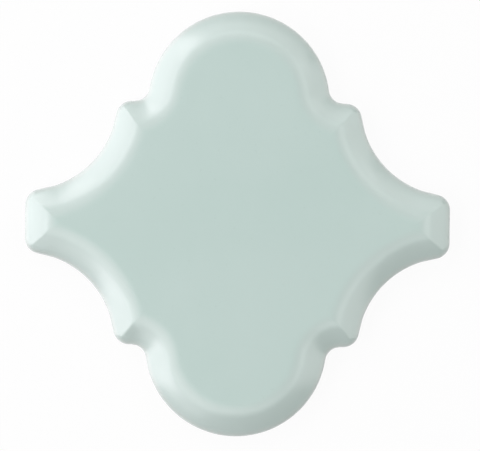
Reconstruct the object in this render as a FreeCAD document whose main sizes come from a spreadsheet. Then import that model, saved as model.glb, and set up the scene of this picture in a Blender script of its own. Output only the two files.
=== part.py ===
"""Arabesque wall tile: one pressed, glazed and fired piece, lying face up on its back.

The outline has a round lobe at each end of Y, a blunt tip at each end of X and four hollow sides
(coves) with the lobes' radius, so that a neighbour's lobe nests in each. A broad bevel runs round
the face. The origin is the middle of the back, +Z points out of the face and +Y towards a lobe.
"""

import FreeCAD, Part
import math
import os

import Sketcher
from FreeCAD import Vector

# Driving dimensions in millimetres: name, size, what it measures
SIZES = (
    ("tile_length", 120.0, "tip to tip, along X"),
    ("tile_width", 120.0, "crown of one lobe to crown of the other, along Y"),
    ("tile_thickness", 8.5, "back to face"),
    ("lobe_radius", 25.6, "lobes, and the coves that neighbouring lobes nest in"),
    ("notch_radius", 4.2, "hollow corner between a lobe and its shoulder"),
    ("shoulder_flat", 0.75, "straight part of a shoulder"),
    ("corner_radius", 4.5, "round corners of the shoulders and tips"),
    ("tip_flat", 9.3, "straight end of a tip"),
    ("bevel_width", 7.5, "side to where the slope of the bevel would meet the face"),
    ("bevel_drop", 3.5, "face to where the slope of the bevel would meet the side"),
    ("bevel_blend", 2.6, "reach of the soft turn along the slope and along the face"),
    ("rim_radius", 1.0, "rounded edge between the side and the bevel"),
    ("back_arris", 0.5, "chamfer round the back"),
)
# How sketch constraints count an element's points up and the axes down; the X axis starts at the origin
START, END, CENTRE = range(1, 4)
X_AXIS, Y_AXIS = range(-1, -3, -1)
ORIGIN = (X_AXIS, START)


def fill_sheet(doc):
    """Puts each driving dimension in a cell with its name as alias."""
    sheet = doc.addObject("Spreadsheet::Sheet", "Sizes")
    for row, (name, size, note) in enumerate(SIZES, start=1):
        sheet.set(f"A{row}", name)
        sheet.set(f"B{row}", str(size))
        sheet.setAlias(f"B{row}", name)
        sheet.set(f"C{row}", note)
    doc.recompute()
    return sheet


def arc(centre, radius, start, end):
    """Arc drawn anticlockwise between two directions from its centre, given in radians."""
    circle = Part.Circle(Vector(*centre, 0), Vector(0, 0, 1), radius)
    return Part.ArcOfCircle(circle, start, end)


def line(start, end):
    return Part.LineSegment(Vector(*start, 0), Vector(*end, 0))


def heading(start, end):
    """Direction from one point to another, in radians."""
    return math.atan2(end[1] - start[1], end[0] - start[0])


def fix(sketch, *constraint):
    """Adds a constraint to the sketch and gives its number."""
    return sketch.addConstraint(Sketcher.Constraint(*constraint))


def bind(sketch, expression, *dimension):
    """Adds a dimension to the sketch and ties it to the sheet."""
    sketch.setExpression(f"Constraints[{fix(sketch, *dimension)}]", expression)


def draw_quarter_outline(doc, sheet):
    """Outline from the crown of the +Y lobe round to the middle of the +X tip."""
    lobe_r, notch_r, corner_r = sheet.lobe_radius, sheet.notch_radius, sheet.corner_radius
    crown_y, tip_x = sheet.tile_width / 2, sheet.tile_length / 2
    lobe = (0, crown_y - lobe_r)
    notch = (math.sqrt((lobe_r + notch_r) ** 2 - notch_r**2), lobe[1] + notch_r)
    shoulder_end = (notch[0] + sheet.shoulder_flat, lobe[1])
    shoulder = (shoulder_end[0], lobe[1] - corner_r)
    tip = (tip_x - corner_r, sheet.tip_flat / 2)
    # The cove touches both corners, so its centre stands off the middle of the line between theirs
    half_span = math.dist(shoulder, tip) / 2
    stand_off = math.sqrt((lobe_r + corner_r) ** 2 - half_span**2)
    across = heading(shoulder, tip) + math.pi / 2
    cove = (
        (shoulder[0] + tip[0]) / 2 + stand_off * math.cos(across),
        (shoulder[1] + tip[1]) / 2 + stand_off * math.sin(across),
    )
    to_notch, to_cove, tip_to_cove = heading(lobe, notch), heading(shoulder, cove), heading(tip, cove)

    sketch = doc.addObject("Sketcher::SketchObject", "QuarterOutline")
    lobe_arc = sketch.addGeometry(arc(lobe, lobe_r, to_notch, math.pi / 2))
    notch_arc = sketch.addGeometry(arc(notch, notch_r, to_notch - math.pi, -math.pi / 2))
    shoulder_line = sketch.addGeometry(line((notch[0], lobe[1]), shoulder_end))
    shoulder_arc = sketch.addGeometry(arc(shoulder, corner_r, to_cove, math.pi / 2))
    cove_arc = sketch.addGeometry(arc(cove, lobe_r, to_cove + math.pi, tip_to_cove + math.pi))
    tip_arc = sketch.addGeometry(arc(tip, corner_r, 0, tip_to_cove))
    tip_line = sketch.addGeometry(line((tip_x, tip[1]), (tip_x, 0)))

    fix(sketch, "Tangent", lobe_arc, START, notch_arc, START)
    fix(sketch, "Tangent", notch_arc, END, shoulder_line, START)
    fix(sketch, "Tangent", shoulder_line, END, shoulder_arc, END)
    fix(sketch, "Tangent", shoulder_arc, START, cove_arc, START)
    fix(sketch, "Tangent", cove_arc, END, tip_arc, END)
    fix(sketch, "Tangent", tip_arc, START, tip_line, START)
    fix(sketch, "PointOnObject", lobe_arc, CENTRE, Y_AXIS)
    fix(sketch, "PointOnObject", lobe_arc, END, Y_AXIS)
    fix(sketch, "PointOnObject", tip_line, END, X_AXIS)
    fix(sketch, "Vertical", tip_line)
    fix(sketch, "Horizontal", shoulder_line)
    fix(sketch, "Horizontal", lobe_arc, CENTRE, shoulder_line, START)
    fix(sketch, "Equal", cove_arc, lobe_arc)
    fix(sketch, "Equal", tip_arc, shoulder_arc)
    bind(sketch, "Sizes.tile_width / 2", "DistanceY", *ORIGIN, lobe_arc, END, crown_y)
    bind(sketch, "Sizes.tile_length / 2", "DistanceX", *ORIGIN, tip_line, END, tip_x)
    bind(sketch, "Sizes.lobe_radius", "Radius", lobe_arc, lobe_r)
    bind(sketch, "Sizes.notch_radius", "Radius", notch_arc, notch_r)
    bind(sketch, "Sizes.corner_radius", "Radius", shoulder_arc, corner_r)
    bind(sketch, "Sizes.shoulder_flat", "Distance", shoulder_line, sheet.shoulder_flat)
    bind(sketch, "Sizes.tip_flat / 2", "Distance", tip_line, sheet.tip_flat / 2)
    return sketch


def draw_edge_section(doc, sheet):
    """Section of the edge, drawn as distance in from the side and height above the back."""
    thickness, width, rim_r = sheet.tile_thickness, sheet.bevel_width, sheet.rim_radius
    drop, blend, arris = sheet.bevel_drop, sheet.bevel_blend, sheet.back_arris
    slope = math.atan2(drop, width)
    foot = (0, thickness - drop)
    rim_run = rim_r * math.tan((math.pi / 2 - slope) / 2)
    crown_r = blend / math.tan(slope / 2)
    rim = (rim_r, foot[1] - rim_run)
    crown = (width + blend, thickness - crown_r)
    bevel_start = (rim_run * math.cos(slope), foot[1] + rim_run * math.sin(slope))
    bevel_end = (width - blend * math.cos(slope), thickness - blend * math.sin(slope))

    sketch = doc.addObject("Sketcher::SketchObject", "EdgeSection")
    arris_line = sketch.addGeometry(line((arris, 0), (0, arris)))
    side_line = sketch.addGeometry(line((0, arris), (0, rim[1])))
    rim_arc = sketch.addGeometry(arc(rim, rim_r, math.pi / 2 + slope, math.pi))
    bevel_line = sketch.addGeometry(line(bevel_start, bevel_end))
    crown_arc = sketch.addGeometry(arc(crown, crown_r, math.pi / 2, math.pi / 2 + slope))
    # Where the slope would meet the side, and where it would meet the face
    low_corner = sketch.addGeometry(Part.Point(Vector(*foot, 0)), True)
    high_corner = sketch.addGeometry(Part.Point(Vector(width, thickness, 0)), True)

    fix(sketch, "Coincident", arris_line, END, side_line, START)
    fix(sketch, "Tangent", side_line, END, rim_arc, END)
    fix(sketch, "Tangent", rim_arc, START, bevel_line, START)
    fix(sketch, "Tangent", bevel_line, END, crown_arc, END)
    fix(sketch, "Vertical", side_line)
    fix(sketch, "Vertical", crown_arc, CENTRE, crown_arc, START)
    fix(sketch, "PointOnObject", arris_line, START, X_AXIS)
    fix(sketch, "PointOnObject", side_line, START, Y_AXIS)
    fix(sketch, "PointOnObject", low_corner, START, Y_AXIS)
    fix(sketch, "PointOnObject", low_corner, START, bevel_line)
    fix(sketch, "PointOnObject", high_corner, START, bevel_line)
    fix(sketch, "Horizontal", high_corner, START, crown_arc, START)
    bind(sketch, "Sizes.back_arris", "DistanceX", *ORIGIN, arris_line, START, arris)
    bind(sketch, "Sizes.back_arris", "DistanceY", *ORIGIN, arris_line, END, arris)
    bind(sketch, "Sizes.rim_radius", "Radius", rim_arc, rim_r)
    bind(sketch, "Sizes.bevel_width", "DistanceX", *ORIGIN, high_corner, START, width)
    bind(sketch, "Sizes.bevel_drop", "DistanceY", low_corner, START, high_corner, START, drop)
    bind(sketch, "Sizes.bevel_blend", "DistanceX", high_corner, START, crown_arc, START, blend)
    bind(sketch, "Sizes.tile_thickness", "DistanceY", *ORIGIN, crown_arc, START, thickness)
    # The tile grows from its outline with the section's width along Y and its height along -Z
    axes = (Vector(0, 1, 0), Vector(0, 0, -1), Vector(-1, 0, 0))
    sketch.Placement = FreeCAD.Placement(Vector(), FreeCAD.Rotation(*axes, "XYZ"))
    return sketch


def press_tile(doc, quarter, section):
    """The section carried round the whole outline, each face trimmed where it meets the next.

    The bevel is wider than the corners are round, so at the tips and shoulders its faces run into
    one another and mitre. Only an evolved solid does that trimming.
    """
    # Seen from the face the outline runs clockwise, so that the section's height counts upwards
    edges = [edge.reversed() for edge in quarter.Shape.Edges]
    for normal in (Vector(1, 0, 0), Vector(0, 1, 0)):
        edges += [edge.mirror(Vector(), normal) for edge in edges]
    outline = Part.Wire(Part.__sortEdges__(edges))
    section_wire = Part.Wire(Part.__sortEdges__(section.Shape.Edges))
    tile = doc.addObject("Part::Feature", "Tile")
    tile.Shape = Part.Face(outline).makeEvolved(section_wire, 0, Solid=True).removeSplitter()
    tile.Label = "arabesque_tile"
    tile.Placement = FreeCAD.Placement()
    return tile


def check(item):
    """Stops the build if an object failed or its shape is empty or unsound."""
    if {"Invalid", "Error"} & set(item.State) or item.Shape.isNull() or not item.Shape.isValid():
        raise RuntimeError(f"{item.Label} did not build: {item.State}")


def main():
    doc = FreeCAD.newDocument("ArabesqueTile")
    sheet = fill_sheet(doc)
    quarter = draw_quarter_outline(doc, sheet)
    section = draw_edge_section(doc, sheet)
    doc.recompute()
    tile = press_tile(doc, quarter, section)
    doc.recompute()
    for item in (quarter, section, tile):
        check(item)
    os.makedirs("parts", exist_ok=True)
    tile.Shape.exportStep(f"parts/{tile.Label}.step")


main()
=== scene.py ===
"""Arabesque wall tile, glazed pale celadon, lying face up on a white floor and seen from above."""

import math

import bmesh
import bpy
from mathutils import Matrix, Vector


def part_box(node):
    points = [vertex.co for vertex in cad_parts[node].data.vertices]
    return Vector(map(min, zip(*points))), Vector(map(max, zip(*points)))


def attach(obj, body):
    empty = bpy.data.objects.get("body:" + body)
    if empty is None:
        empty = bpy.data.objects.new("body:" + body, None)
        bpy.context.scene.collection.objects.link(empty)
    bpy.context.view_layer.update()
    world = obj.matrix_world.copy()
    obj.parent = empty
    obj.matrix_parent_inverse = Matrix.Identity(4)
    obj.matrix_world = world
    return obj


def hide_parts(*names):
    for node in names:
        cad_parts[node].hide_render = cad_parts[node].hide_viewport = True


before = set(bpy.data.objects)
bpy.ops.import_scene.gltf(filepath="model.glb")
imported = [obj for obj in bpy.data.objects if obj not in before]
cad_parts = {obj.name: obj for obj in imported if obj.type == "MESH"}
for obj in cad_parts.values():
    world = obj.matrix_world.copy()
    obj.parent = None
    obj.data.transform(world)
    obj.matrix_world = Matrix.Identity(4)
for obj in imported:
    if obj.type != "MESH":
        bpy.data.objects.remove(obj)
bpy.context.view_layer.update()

low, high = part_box("arabesque_tile")

# Plan of the tile, in metres
HALF_LENGTH = (high.x - low.x) / 2
HALF_WIDTH = (high.y - low.y) / 2
THICKNESS = high.z - low.z
LOBE_RADIUS = 0.0256
NOTCH_RADIUS = 0.0042
CORNER_RADIUS = 0.0045

# Section of its edge, as arcs from the side inwards: rings modelled, how far in from the side the arc
# ends, and how many degrees the surface leans outwards there
RIM = (5, 0.0005, 34.5)
LOW_SLOPE = (1, 0.0024, 32.5)
HIGH_SLOPE = (2, 0.0051, 24)
CROWN = (1, 0.0062, 18)
HIGH_CROWN = (5, 0.0101, 0)
MITRE_START = LOW_SLOPE[1]
FLAT_START = HIGH_CROWN[1]
MITRE_ROUNDING = 0.0004
BACK_ARRIS = 0.0005

# How finely it is modelled: edges in an arc of the outline, degrees in a step of the back's rounded edge,
# and metres below which an edge is merged or a step counts as done
LOBE_EDGES, NOTCH_EDGES, CORNER_EDGES, COVE_EDGES = 30, 10, 10, 20
ARRIS_STEP = 30
SHORTEST_EDGE = 0.0002
LEAST_STEP = 1e-7

# Degrees of a hollow arc that stay one straight edge next to a corner: all of the last stretch of a notch,
# and in a cove what the mitre takes and a little more
NOTCH_STRETCH = 20
PAST_MITRE = 1.7

# Slopes that face this many degrees apart meet in a mitre
MITRE_TURN = 40

# Tones of the fired glaze and of the clay, from deep to pale where there are two
FACE_TONES = (0.493, 0.627, 0.580, 1), (0.511, 0.639, 0.594, 1)
SPECK_TONE = (0.43, 0.55, 0.50, 1)
SLOPE_TONE = (0.474, 0.580, 0.541, 1)
CROWN_TONE = (0.523, 0.633, 0.592, 1)
RIM_TONE = (0.515, 0.588, 0.553, 1)
# The top edge is paler partly because the glaze breaks thin there, and partly as painted light that lifts the
# dark line of shade along the outline
ARRIS_PAINTED_LIGHT_TONE = (0.61, 0.68, 0.65, 1)
CLAY_TONES = (0.60, 0.53, 0.45, 1), (0.70, 0.64, 0.56, 1)

# Roughness of the glaze, from least to most, what it gains over the rim, and roughness of the clay
GLAZE_ROUGHNESS = 0.225, 0.255
RIM_ROUGHNESS = 0.012
CLAY_ROUGHNESS = 0.9

# Heights between which the glaze starts, once its ragged edge is added
GLAZE_START = 0.0018, 0.0021
RAGGED_BY = 0.0012

# The white paper's share that is seen evenly white, and the light that the room itself gives
EVEN_WHITE = 0.93
ROOM_LIGHT = 0.03

# What the camera sees: pixels across the image and from tip to tip, the height at which they are counted,
# how many pixels it stands off the tile's middle, and how many degrees it is turned
IMAGE_WIDTH = 480
TIP_TO_TIP = 426
COUNTED_AT = 0.005
OFF_MIDDLE = (2.55, -1.5)
TURNED = 0.79


def add_object(name, data):
    """Puts an object with the given data into the scene, at the origin."""
    thing = bpy.data.objects.new(name, data)
    bpy.context.collection.objects.link(thing)
    return thing


def mesh_object(name, bm):
    """Turns what was modelled into an object of the scene."""
    mesh = bpy.data.meshes.new(name)
    bm.to_mesh(mesh)
    bm.free()
    return add_object(name, mesh)


def spin_on(bm, end, centre, degrees, steps):
    """Carries the outline on from its end vertex along an arc about a centre, and gives the new end."""
    arc = bmesh.ops.spin(
        bm, geom=[end], cent=(*centre, 0), axis=(0, 0, 1), angle=math.radians(degrees), steps=steps
    )
    return next(item for item in arc["geom_last"] if isinstance(item, bmesh.types.BMVert))


def run_on(bm, end, place):
    """Carries the outline straight on from its end vertex to a place, and gives the new end."""
    run = bmesh.ops.extrude_vert_indiv(bm, verts=[end])
    run["verts"][0].co = Vector((*place, 0))
    return run["verts"][0]


def turn_taken(radius, reach):
    """Degrees of a hollow arc that the mitre at a corner has passed when the bevel has come in by reach."""
    return math.degrees(math.asin(reach / (radius + reach)))


# Places in the quarter of the plan between the lobe and the tip
INTO_NOTCH = turn_taken(LOBE_RADIUS, NOTCH_RADIUS)
INTO_CORNER = turn_taken(LOBE_RADIUS, CORNER_RADIUS)
LOBE_Y = HALF_WIDTH - LOBE_RADIUS
NOTCH_X = (LOBE_RADIUS + NOTCH_RADIUS) * math.cos(math.radians(INTO_NOTCH))
CORNER_RUN = (LOBE_RADIUS + CORNER_RADIUS) * math.cos(math.radians(INTO_CORNER))
SHOULDER = (HALF_LENGTH - CORNER_RUN, LOBE_Y - CORNER_RADIUS)
TIP = (HALF_LENGTH - CORNER_RADIUS, LOBE_Y - CORNER_RUN)


def draw_outline(bm):
    """One face in the tile's outline: a quarter drawn as arcs from lobe to tip, and mirrored twice."""
    lobe, notch, cove = (0, LOBE_Y), (NOTCH_X, LOBE_Y + NOTCH_RADIUS), (HALF_LENGTH, LOBE_Y)
    cove_stretch = turn_taken(LOBE_RADIUS, FLAT_START) - INTO_CORNER + PAST_MITRE

    end = bm.verts.new((0, HALF_WIDTH, 0))
    end = spin_on(bm, end, lobe, INTO_NOTCH - 90, LOBE_EDGES)
    end = spin_on(bm, end, notch, 90 - INTO_NOTCH - NOTCH_STRETCH, NOTCH_EDGES)
    end = spin_on(bm, end, notch, NOTCH_STRETCH, 1)
    end = run_on(bm, end, (SHOULDER[0], LOBE_Y))
    end = spin_on(bm, end, SHOULDER, INTO_CORNER - 90, CORNER_EDGES)
    end = spin_on(bm, end, cove, cove_stretch, 1)
    end = spin_on(bm, end, cove, 90 - 2 * INTO_CORNER - 2 * cove_stretch, COVE_EDGES)
    end = spin_on(bm, end, cove, cove_stretch, 1)
    end = spin_on(bm, end, TIP, INTO_CORNER - 90, CORNER_EDGES)
    run_on(bm, end, (HALF_LENGTH, 0))
    for axis in "XY":
        bmesh.ops.mirror(
            bm, geom=bm.verts[:] + bm.edges[:], matrix=Matrix(), merge_dist=1e-6, axis=axis
        )
    bmesh.ops.contextual_create(bm, geom=bm.edges[:])


def top_face(bm):
    return max(bm.faces, key=lambda face: face.calc_center_median().z)


def room_to_inset(face):
    """How far a face can be inset before one of its edges shrinks to nothing."""
    rooms = []
    for loop in face.loops:
        closing = sum(
            math.tan((math.pi - corner.calc_angle()) / 2) * (1 if corner.is_convex else -1)
            for corner in (loop, loop.link_loop_next)
        )
        if closing > 0:
            rooms.append(loop.edge.calc_length() / closing)
    return min(rooms)


def section_rings():
    """Each ring's distance in from the side and its height above the back."""
    rings = [(0, 0)]
    lean = math.radians(90)
    for steps, end, degrees in (RIM, LOW_SLOPE, HIGH_SLOPE, CROWN, HIGH_CROWN):
        (start, foot), end_lean = rings[-1], math.radians(degrees)
        radius = (end - start) / (math.sin(lean) - math.sin(end_lean))
        for step in range(1, steps + 1):
            now = lean + (end_lean - lean) * step / steps
            inwards = radius * (math.sin(lean) - math.sin(now))
            rings.append((start + inwards, foot + radius * (math.cos(now) - math.cos(lean))))
        lean = end_lean
    side = THICKNESS - rings[-1][1]
    return [(reach, side + rise) for reach, rise in rings]


def step_in(bm, ring, next_ring):
    """Insets the topmost face from one ring to the next, and merges edges that vanish at a mitre."""
    (reach, _), (next_reach, next_height) = ring, next_ring
    reach_layer = bm.verts.layers.float["reach"]
    while next_reach - reach > LEAST_STEP:
        top = top_face(bm)
        step = min(next_reach - reach, room_to_inset(top))
        rise = (next_height - top.verts[0].co.z) * step / (next_reach - reach)
        bmesh.ops.inset_individual(bm, faces=[top], thickness=step, use_even_offset=True)
        bmesh.ops.translate(bm, verts=top.verts, vec=(0, 0, rise))
        reach += step
        for vert in top.verts:
            vert[reach_layer] = reach
        vanished = [edge for edge in top.edges if edge.calc_length() < SHORTEST_EDGE]
        bmesh.ops.collapse(bm, edges=vanished)


def start_mitres(bm, reach):
    """Draws each round corner of the topmost face together, to where the slopes beside it meet."""
    radius = CORNER_RADIUS - reach
    half_turn = math.radians(90 - INTO_CORNER) / 2
    to_meeting = radius / math.cos(half_turn)
    for corner, facing in ((SHOULDER, math.pi / 2 - half_turn), (TIP, half_turn)):
        outwards = Vector((math.cos(facing), math.sin(facing)))
        for side in (Vector((1, 1)), Vector((-1, 1)), Vector((-1, -1)), Vector((1, -1))):
            centre = Vector(corner) * side
            meeting = centre + outwards * side * to_meeting
            # The corner's own vertices lie on its arc, and all others farther out
            round_corner = [
                vert for vert in top_face(bm).verts if (vert.co.xy - centre).length < 1.02 * radius
            ]
            bmesh.ops.pointmerge(bm, verts=round_corner, merge_co=(*meeting, round_corner[0].co.z))


def is_mitre(edge):
    """True where two slopes that face widely different ways meet."""
    slopes = [face.normal.xy for face in edge.link_faces]
    # A level face has no slope to compare
    if min(slope.length for slope in slopes) < 0.01:
        return False
    return slopes[0].angle(slopes[1]) > math.radians(MITRE_TURN)


def round_back(bm):
    """Draws the lowest face in and down, round the quarter circle of the back's edge."""
    for turned in range(0, 90, ARRIS_STEP):
        before, after = math.radians(turned), math.radians(turned + ARRIS_STEP)
        back = min(bm.faces, key=lambda face: face.calc_center_median().z)
        taken_in = BACK_ARRIS * (math.cos(before) - math.cos(after))
        taken_down = BACK_ARRIS * (math.sin(after) - math.sin(before))
        bmesh.ops.inset_individual(bm, faces=[back], thickness=taken_in, use_even_offset=True)
        bmesh.ops.translate(bm, verts=back.verts, vec=(0, 0, -taken_down))


def model_tile():
    """The outline raised to the top of the side, stepped in along the section and rounded at the back."""
    bm = bmesh.new()
    bm.verts.layers.float.new("reach")
    draw_outline(bm)
    rings = section_rings()
    bmesh.ops.translate(bm, verts=bm.verts, vec=(0, 0, BACK_ARRIS))
    raised = bmesh.ops.extrude_face_region(bm, geom=bm.faces[:], use_keep_orig=True)
    top_verts = [item for item in raised["geom"] if isinstance(item, bmesh.types.BMVert)]
    bmesh.ops.translate(bm, verts=top_verts, vec=(0, 0, rings[0][1] - BACK_ARRIS))
    for ring, next_ring in zip(rings, rings[1:]):
        step_in(bm, ring, next_ring)
        if math.isclose(next_ring[0], MITRE_START):
            start_mitres(bm, MITRE_START)
    mitres = [edge for edge in bm.edges if is_mitre(edge)]
    bmesh.ops.bevel(
        bm, geom=mitres, offset=MITRE_ROUNDING, offset_type="OFFSET", segments=3, profile=0.5,
        affect="EDGES", material=-1,
    )
    round_back(bm)
    bmesh.ops.recalc_face_normals(bm, faces=bm.faces)
    tile = mesh_object("glazed_tile", bm)
    tile.data.shade_smooth()
    return tile


class Nodes:
    """Adds nodes to a material or world and links them by name."""

    def __init__(self, tree):
        self.tree = tree

    def add(self, kind, inputs=None, **settings):
        node = self.tree.nodes.new(kind)
        for name, value in settings.items():
            setattr(node, name, value)
        for name, value in (inputs or {}).items():
            self.put(node.inputs[name], value)
        return node

    def put(self, socket, value):
        if isinstance(value, bpy.types.NodeSocket):
            self.tree.links.new(value, socket)
        else:
            socket.default_value = value

    def noise(self, where, scale, detail):
        return self.add(
            "ShaderNodeTexNoise", {"Vector": where, "Scale": scale, "Detail": detail, "Roughness": 0.55}
        ).outputs["Fac"]

    def ramp(self, value, low, high, to_low=0.0, to_high=1.0):
        """Eases from one level to another while a value goes from low to high."""
        span = {"Value": value, "From Min": low, "From Max": high, "To Min": to_low, "To Max": to_high}
        return self.add("ShaderNodeMapRange", span, interpolation_type="SMOOTHSTEP").outputs["Result"]

    def maths(self, operation, first, second):
        node = self.add("ShaderNodeMath", operation=operation)
        self.put(node.inputs[0], first)
        self.put(node.inputs[1], second)
        return node.outputs[0]

    def mix(self, amount, first, second):
        """Goes from one colour to another with an amount."""
        node = self.add("ShaderNodeMix", data_type="RGBA")
        self.put(node.inputs[0], amount)
        self.put(node.inputs[6], first)
        self.put(node.inputs[7], second)
        return node.outputs[2]

    def mix_level(self, amount, first, second):
        """Goes from one plain level to another with an amount."""
        node = self.add("ShaderNodeMix", data_type="FLOAT")
        self.put(node.inputs[0], amount)
        self.put(node.inputs[2], first)
        self.put(node.inputs[3], second)
        return node.outputs[0]


def glaze():
    """Celadon glaze over clay: thin at the rim and the crown, glassy on the bevel, absent at the back."""
    material = bpy.data.materials.new("celadon_glaze")
    material.use_nodes = True
    nodes = Nodes(material.node_tree)
    shader = material.node_tree.nodes["Principled BSDF"]
    shader.inputs["IOR"].default_value = 1.45
    shader.inputs["Coat Roughness"].default_value = 0.24
    where = nodes.add("ShaderNodeTexCoord").outputs["Object"]
    reach = nodes.add("ShaderNodeAttribute", attribute_name="reach").outputs["Fac"]
    height = nodes.add("ShaderNodeSeparateXYZ", {"Vector": where}).outputs["Z"]
    cloud = nodes.noise(where, 22, 3)
    ripple = nodes.noise(where, 110, 2)
    grain = nodes.noise(where, 1400, 4)
    speck = nodes.noise(where, 1100, 1)

    # Where the fired glaze is thin, full or absent, by the distance in from the side and the height
    slope = nodes.ramp(reach, 0.0050, 0.0090, 1, 0)
    crown = nodes.maths(
        "MULTIPLY", nodes.ramp(reach, 0.0054, 0.0072), nodes.ramp(reach, 0.0074, FLAT_START, 1, 0)
    )
    thin_rim = nodes.ramp(reach, 0.0002, 0.0018, 1, 0)
    # Top edge: thin glaze, plus painted light that lifts the shade darkening the outline
    arris_painted_light = nodes.maths(
        "MULTIPLY", nodes.ramp(reach, 0.0001, 0.0006, 1, 0), nodes.ramp(height, 0.0036, 0.0042)
    )
    edge_height = nodes.maths("ADD", height, nodes.maths("MULTIPLY", ripple, RAGGED_BY))
    glazed = nodes.ramp(edge_height, *GLAZE_START)

    celadon = nodes.mix(nodes.ramp(cloud, 0.32, 0.68), *FACE_TONES)
    celadon = nodes.mix(nodes.ramp(speck, 0.70, 0.78, 0, 0.25), celadon, SPECK_TONE)
    celadon = nodes.mix(slope, celadon, SLOPE_TONE)
    celadon = nodes.mix(crown, celadon, CROWN_TONE)
    celadon = nodes.mix(thin_rim, celadon, RIM_TONE)
    # Paler top edge: thin glaze and painted light
    celadon = nodes.mix(arris_painted_light, celadon, ARRIS_PAINTED_LIGHT_TONE)
    clay = nodes.mix(nodes.ramp(grain, 0.35, 0.65), *CLAY_TONES)
    nodes.put(shader.inputs["Base Color"], nodes.mix(glazed, clay, celadon))

    gloss = nodes.maths(
        "ADD", nodes.ramp(cloud, 0.3, 0.7, *GLAZE_ROUGHNESS), nodes.maths("MULTIPLY", thin_rim, RIM_ROUGHNESS)
    )
    nodes.put(shader.inputs["Roughness"], nodes.mix_level(glazed, CLAY_ROUGHNESS, gloss))
    glassy = nodes.maths("MULTIPLY", nodes.ramp(reach, 0.0068, FLAT_START, 1, 0), glazed)
    nodes.put(shader.inputs["Coat Weight"], glassy)

    # Soft waves all over, and pores where the clay is bare
    wave = nodes.add("ShaderNodeBump", {"Height": ripple, "Distance": 0.00012, "Strength": 0.5})
    pores = nodes.add(
        "ShaderNodeBump", {"Height": grain, "Distance": 0.00005, "Normal": wave.outputs["Normal"]}
    )
    nodes.put(pores.inputs["Strength"], nodes.ramp(edge_height, *GLAZE_START, 0.8, 0.03))
    nodes.put(shader.inputs["Normal"], pores.outputs["Normal"])
    return material


tile = model_tile()
tile.data.materials.append(glaze())
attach(tile, "root")
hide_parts("arabesque_tile")


def seen_directly(nodes):
    """1 for what the camera sees straight, in a gloss or through glass, 0 for light that falls on things."""
    rays = nodes.add("ShaderNodeLightPath").outputs
    seen = nodes.maths("MAXIMUM", rays["Is Camera Ray"], rays["Is Glossy Ray"])
    return nodes.maths("MAXIMUM", seen, rays["Is Transmission Ray"])


def white_paper():
    """White floor that looks evenly white, with a faint shadow kept."""
    material = bpy.data.materials.new("white_paper")
    material.use_nodes = True
    nodes = Nodes(material.node_tree)
    nodes.tree.nodes.clear()
    paper = nodes.add("ShaderNodeBsdfDiffuse", {"Color": (0.85, 0.85, 0.85, 1)})
    white = nodes.add("ShaderNodeEmission", {"Strength": 1.0})
    mixed = nodes.add("ShaderNodeMixShader")
    nodes.put(mixed.inputs[0], nodes.maths("MULTIPLY", seen_directly(nodes), EVEN_WHITE))
    nodes.put(mixed.inputs[1], paper.outputs[0])
    nodes.put(mixed.inputs[2], white.outputs[0])
    nodes.add("ShaderNodeOutputMaterial", {"Surface": mixed.outputs[0]})
    return material


# Floor
bm = bmesh.new()
bmesh.ops.create_grid(bm, x_segments=1, y_segments=1, size=3)
floor = mesh_object("floor", bm)
floor.data.materials.append(white_paper())

# Camera
pixel = 0.120 / TIP_TO_TIP
camera = bpy.data.cameras.new("camera")
camera.lens = 100
camera_object = add_object("camera", camera)
distance = camera.lens / camera.sensor_width * IMAGE_WIDTH * pixel
camera_object.location = (OFF_MIDDLE[0] * pixel, OFF_MIDDLE[1] * pixel, COUNTED_AT + distance)
camera_object.rotation_euler = (0, 0, math.radians(TURNED))
bpy.context.scene.camera = camera_object


def soft_panel(name, azimuth, from_zenith, width, height, watts, colour=(1, 1, 1)):
    """Hangs a soft lamp one metre from the tile, turned to face it; azimuth counts from +X towards +Y."""
    lamp = bpy.data.lights.new(name, "AREA")
    lamp.shape = "RECTANGLE"
    lamp.size, lamp.size_y = width, height
    lamp.energy = watts
    lamp.color = colour
    azimuth, from_zenith = math.radians(azimuth), math.radians(from_zenith)
    away = Vector((math.cos(azimuth), math.sin(azimuth), 1 / math.tan(from_zenith))).normalized()
    holder = add_object(name, lamp)
    holder.location = away
    holder.rotation_euler = away.to_track_quat("Z", "Y").to_euler()


# Light
soft_panel("left_window", 170, 62.5, 1.85, 1.0, 15.2, (1, 0.945, 0.99))
soft_panel("right_panel", 1, 55, 1.26, 1.0, 5.6)
soft_panel("far_panel", 86, 54.5, 1.8, 0.56, 3.65)
soft_panel("near_panel", 285, 34, 0.43, 0.18, 0.24)
soft_panel("corner_panel", 227, 41, 0.72, 1.1, 2.75)
room = bpy.data.worlds.new("white_room")
room.use_nodes = True
room_nodes = Nodes(room.node_tree)
backdrop = room.node_tree.nodes["Background"]
room_nodes.put(backdrop.inputs["Color"], (1, 1, 1, 1))
room_nodes.put(backdrop.inputs["Strength"], room_nodes.ramp(seen_directly(room_nodes), 0, 1, ROOM_LIGHT, 1))
bpy.context.scene.world = room
bpy.context.scene.view_settings.view_transform = "Standard"
